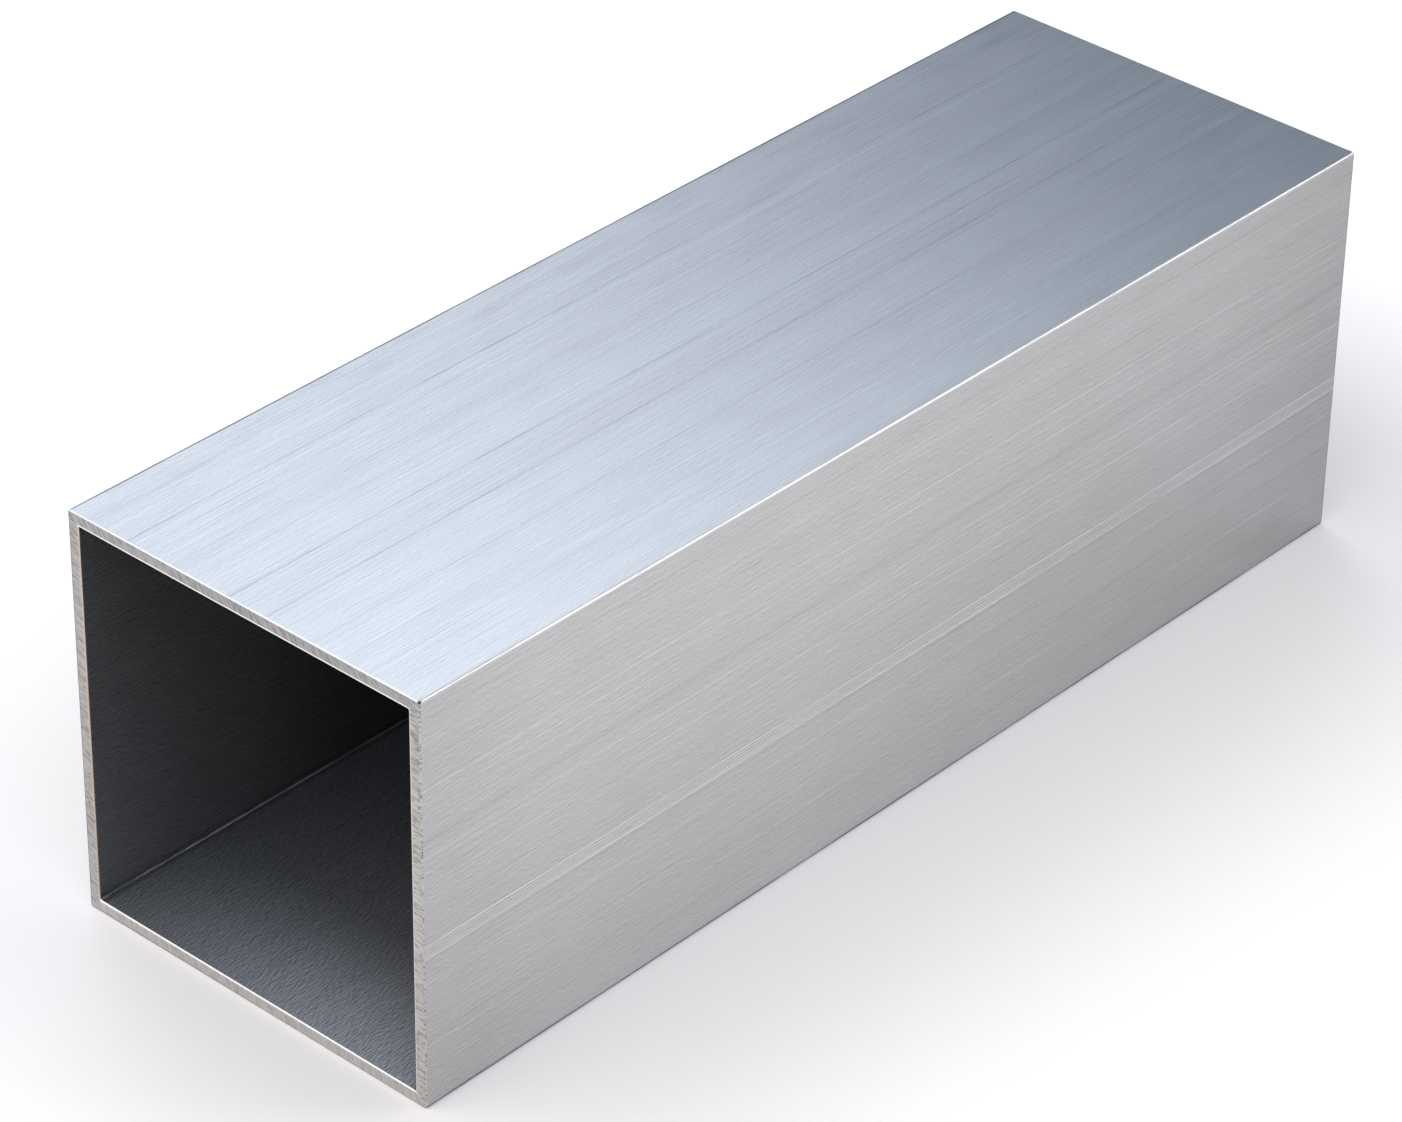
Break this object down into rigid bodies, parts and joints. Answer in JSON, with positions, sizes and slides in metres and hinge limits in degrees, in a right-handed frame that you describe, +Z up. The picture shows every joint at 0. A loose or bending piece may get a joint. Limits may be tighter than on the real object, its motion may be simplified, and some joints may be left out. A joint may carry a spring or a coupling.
{
  "type": "square metal tube",
  "caption": "Sawn length of square thin-walled extruded aluminium tube, open at both ends, with a lengthwise brushed mill finish.",
  "frame": {"origin": "middle of the underside: halfway along the tube and across it, on the surface it rests on", "axes": "+Y along the tube, +Z up, +X across it; the section is the same both ways and both cuts are square"},
  "size_m": [0.1, 0.3, 0.1],
  "materials": {
    "tube_metal": "lengthwise brushed mill finish, sawn ends"
  },
  "bodies": {
    "root": {"square_tube": "tube_metal"}
  },
  "joints": []
}
